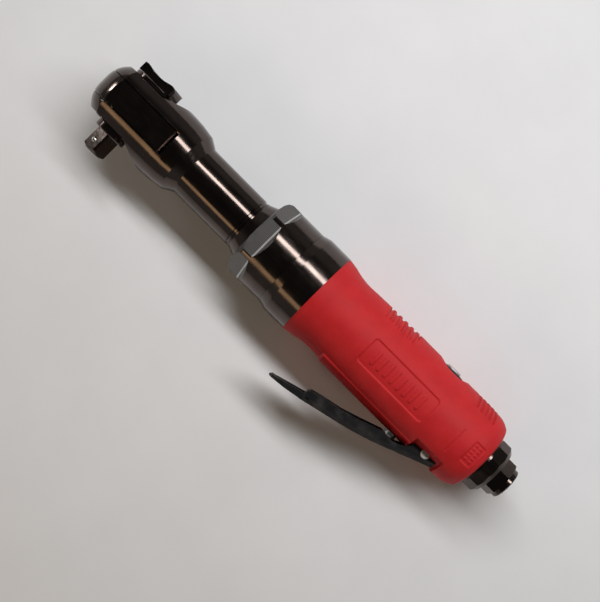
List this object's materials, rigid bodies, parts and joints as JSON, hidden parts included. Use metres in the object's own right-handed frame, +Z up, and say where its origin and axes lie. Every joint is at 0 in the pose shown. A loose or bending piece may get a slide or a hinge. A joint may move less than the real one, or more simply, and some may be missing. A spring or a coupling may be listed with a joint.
{
  "type": "air ratchet",
  "caption": "Compressed-air ratchet wrench with a forked ratchet head, square drive, reverse knob, red moulded grip and throttle lever",
  "frame": {"origin": "centre of the square drive's end face, on the drive axis", "axes": "+X along the tool from the ratchet head to the air inlet, +Y along the drive axis from the square drive to the reverse knob, +Z up with the tool on its side"},
  "size_m": [0.2769, 0.0673, 0.0468],
  "materials": {
    "black_nickel": "gloss",
    "black_alloy": "gloss",
    "red_grip": "matte",
    "lever_steel": "satin",
    "bright_steel": "satin",
    "bronze": "satin",
    "rubber": "matte",
    "vane_composite": "matte"
  },
  "bodies": {
    "housing": {"ratchet_housing": "black_nickel", "clamp_nut": "black_nickel", "ring_gear": "bright_steel", "motor_housing": "black_alloy", "grip_sleeve": "red_grip", "crank_front_bushing": "bronze", "crank_bearing_outer_race": "bright_steel", "front_end_plate": "bright_steel", "rear_end_plate": "bright_steel", "cylinder": "bright_steel", "cylinder_dowel": "bright_steel", "front_bearing_outer_race": "bright_steel", "rear_bearing_outer_race": "bright_steel", "rear_gasket": "rubber", "throttle_bushing": "bright_steel", "valve_seat": "bronze", "valve_spring": "bright_steel", "inlet_bushing": "black_nickel", "inlet_o_ring": "rubber", "inlet_screen": "bronze", "exhaust_ring": "black_alloy", "exhaust_silencer": "vane_composite", "lever_pin": "bright_steel"},
    "yoke": {"yoke": "black_nickel"},
    "anvil": {"anvil": "black_nickel", "pawl_pin": "bright_steel", "drive_side_washer": "black_nickel", "anvil_retaining_ring": "bright_steel", "knob_base": "black_nickel", "drive_ball_spring": "bright_steel"},
    "drive_ball": {"drive_ball": "bright_steel"},
    "knob": {"reverse_knob": "black_nickel", "pawl_spring": "bright_steel"},
    "plunger": {"pawl_plunger": "bright_steel"},
    "pawl": {"pawl": "bright_steel"},
    "crankshaft": {"crankshaft": "bright_steel", "planet_pins": "bright_steel", "crank_bearing_inner_race": "bright_steel"},
    "planet_1": {"planet_gear_1": "bright_steel"},
    "planet_2": {"planet_gear_2": "bright_steel"},
    "planet_3": {"planet_gear_3": "bright_steel"},
    "drive_bushing": {"drive_bushing": "bronze"},
    "rotor": {"rotor": "bright_steel", "rotor_vanes": "vane_composite", "front_bearing_inner_race": "bright_steel", "rear_bearing_inner_race": "bright_steel"},
    "crank_bearing_balls": {"crank_bearing_balls": "bright_steel"},
    "front_bearing_balls": {"front_bearing_balls": "bright_steel"},
    "rear_bearing_balls": {"rear_bearing_balls": "bright_steel"},
    "lever": {"lever": "lever_steel"},
    "throttle_stem": {"throttle_stem": "bright_steel"},
    "regulator": {"regulator_dial": "black_alloy", "regulator_screw": "bright_steel"}
  },
  "joints": [
    {"name": "rotor_spin", "type": "hinge", "parent": "housing", "child": "rotor", "pos_m": [0.13, 0.029, 0], "axis": [1, 0, 0], "continuous": true},
    {"name": "crank_spin", "type": "hinge", "parent": "housing", "child": "crankshaft", "pos_m": [0.06, 0.029, 0], "axis": [1, 0, 0], "continuous": true},
    {"name": "planet_1_spin", "type": "hinge", "parent": "crankshaft", "child": "planet_1", "pos_m": [0.096, 0.038, 0], "axis": [1, 0, 0], "continuous": true},
    {"name": "planet_2_spin", "type": "hinge", "parent": "crankshaft", "child": "planet_2", "pos_m": [0.096, 0.0245, 0.00779], "axis": [1, 0, 0], "continuous": true},
    {"name": "planet_3_spin", "type": "hinge", "parent": "crankshaft", "child": "planet_3", "pos_m": [0.096, 0.0245, -0.00779], "axis": [1, 0, 0], "continuous": true},
    {"name": "bushing_turn", "type": "hinge", "parent": "crankshaft", "child": "drive_bushing", "pos_m": [0.0217, 0.029, 0.0016], "axis": [1, 0, 0], "continuous": true},
    {"name": "crank_bearing_roll", "type": "hinge", "parent": "housing", "child": "crank_bearing_balls", "pos_m": [0.0665, 0.029, 0], "axis": [1, 0, 0], "continuous": true},
    {"name": "front_bearing_roll", "type": "hinge", "parent": "housing", "child": "front_bearing_balls", "pos_m": [0.105, 0.029, 0], "axis": [1, 0, 0], "continuous": true},
    {"name": "rear_bearing_roll", "type": "hinge", "parent": "housing", "child": "rear_bearing_balls", "pos_m": [0.15425, 0.029, 0], "axis": [1, 0, 0], "continuous": true},
    {"name": "yoke_swing", "type": "hinge", "parent": "housing", "child": "yoke", "pos_m": [0, 0.029, 0], "axis": [0, 1, 0], "range_deg": [-4.2, 4.2]},
    {"name": "anvil_turn", "type": "hinge", "parent": "housing", "child": "anvil", "pos_m": [0, 0.029, 0], "axis": [0, 1, 0], "continuous": true},
    {"name": "ball_press", "type": "slide", "parent": "anvil", "child": "drive_ball", "axis": [0.5, 0, -0.866], "range_m": [0, 0.00105], "stiffness_N_per_m": 600, "springref_m": -0.0003, "deforming": ["drive_ball_spring"]},
    {"name": "knob_turn", "type": "hinge", "parent": "anvil", "child": "knob", "pos_m": [0, 0.029, 0], "axis": [0, 1, 0], "range_deg": [-20, 20]},
    {"name": "plunger_press", "type": "slide", "parent": "knob", "child": "plunger", "axis": [0.9563, 0, 0.2924], "range_m": [0, 0.0004], "stiffness_N_per_m": 300, "springref_m": -0.0002, "deforming": ["pawl_spring"]},
    {"name": "pawl_rock", "type": "hinge", "parent": "anvil", "child": "pawl", "pos_m": [-0.00688, 0.029, -0.00211], "axis": [0, 1, 0], "range_deg": [-8, 8]},
    {"name": "lever_pull", "type": "hinge", "parent": "housing", "child": "lever", "pos_m": [0.2172, 0.0118, 0], "axis": [0, 0, -1], "range_deg": [0, 9], "stiffness_Nm_per_rad": 0.25, "springref_deg": -6.88},
    {"name": "stem_lift", "type": "slide", "parent": "housing", "child": "throttle_stem", "axis": [0, 1, 0], "range_m": [0, 0.0032], "deforming": ["valve_spring"]},
    {"name": "regulator_turn", "type": "hinge", "parent": "housing", "child": "regulator", "pos_m": [0.1994, 0.029, 0], "axis": [0, 1, 0], "range_deg": [0, 90]}
  ],
  "couplings": [
    {"joint": "crank_spin", "follows": "rotor_spin", "ratio": 0.25},
    {"joint": "planet_1_spin", "follows": "rotor_spin", "ratio": -0.75},
    {"joint": "planet_2_spin", "follows": "rotor_spin", "ratio": -0.75},
    {"joint": "planet_3_spin", "follows": "rotor_spin", "ratio": -0.75},
    {"joint": "bushing_turn", "follows": "rotor_spin", "ratio": -0.25},
    {"joint": "crank_bearing_roll", "follows": "rotor_spin", "ratio": 0.105},
    {"joint": "front_bearing_roll", "follows": "rotor_spin", "ratio": 0.4125},
    {"joint": "rear_bearing_roll", "follows": "rotor_spin", "ratio": 0.375},
    {"joint": "pawl_rock", "follows": "knob_turn", "ratio": -0.4},
    {"joint": "stem_lift", "follows": "lever_pull", "m_per_rad": 0.02}
  ]
}
